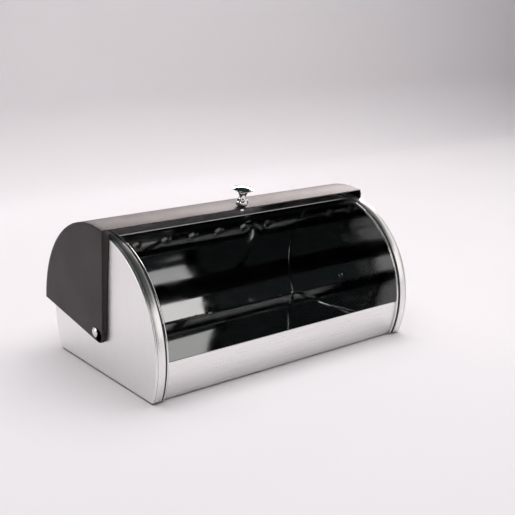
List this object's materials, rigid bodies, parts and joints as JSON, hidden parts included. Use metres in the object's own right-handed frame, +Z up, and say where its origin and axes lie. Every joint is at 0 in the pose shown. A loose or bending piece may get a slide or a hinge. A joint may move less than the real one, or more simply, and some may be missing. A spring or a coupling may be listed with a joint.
{
  "type": "roll-top bread box",
  "caption": "Drum-shaped steel bread box with a dark lid that rolls back on side rivets, an open mouth and a turned knob.",
  "frame": {"origin": "on the surface that the box stands on, under the middle of its overall box, lid rolled open", "axes": "+X along the drum, to the right as one faces the mouth; +Y from the mouth to the back; +Z up. The mouth and the front strip face -Y"},
  "size_m": [0.3964, 0.253, 0.2048],
  "materials": {
    "panel_steel": "stainless sheet, fine grain along the drum outside, bright annealed inside",
    "end_steel": "stainless sheet, satin outside, bright annealed inside",
    "band_steel": "stainless strip, fine grain round the hoop",
    "seal_rubber": "black rubber extrusion, matt",
    "bead_chrome": "polished half-round bead",
    "foot_rubber": "black moulded rubber",
    "spacer_plastic": "black nylon, moulded",
    "rivet_steel": "plated steel, polished dome",
    "stud_steel": "plain steel stud",
    "lid_paint": "satin dark taupe powder coat",
    "knob_chrome": "turned and chrome plated",
    "fastener_steel": "zinc plated steel"
  },
  "bodies": {
    "root": {"back_left_foot": "foot_rubber", "back_panel": "panel_steel", "back_right_foot": "foot_rubber", "floor_panel": "panel_steel", "front_left_foot": "foot_rubber", "front_panel": "panel_steel", "front_right_foot": "foot_rubber", "left_edge_bead": "bead_chrome", "left_end_plate": "end_steel", "left_pivot_rivet": "rivet_steel", "left_pivot_spacer": "spacer_plastic", "left_rim_band": "band_steel", "left_seal_ring": "seal_rubber", "left_stop_studs": "stud_steel", "right_edge_bead": "bead_chrome", "right_end_plate": "end_steel", "right_pivot_rivet": "rivet_steel", "right_pivot_spacer": "spacer_plastic", "right_rim_band": "band_steel", "right_seal_ring": "seal_rubber", "right_stop_studs": "stud_steel"},
    "lid": {"knob": "knob_chrome", "knob_screw": "fastener_steel", "knob_washer": "fastener_steel", "lid_left_cheek": "lid_paint", "lid_right_cheek": "lid_paint", "lid_roof": "lid_paint"}
  },
  "joints": [
    {"name": "lid_roll", "type": "hinge", "parent": "root", "child": "lid", "pos_m": [0, -0.00158, 0.0525], "axis": [1, 0, 0], "range_deg": [0, 80]}
  ]
}
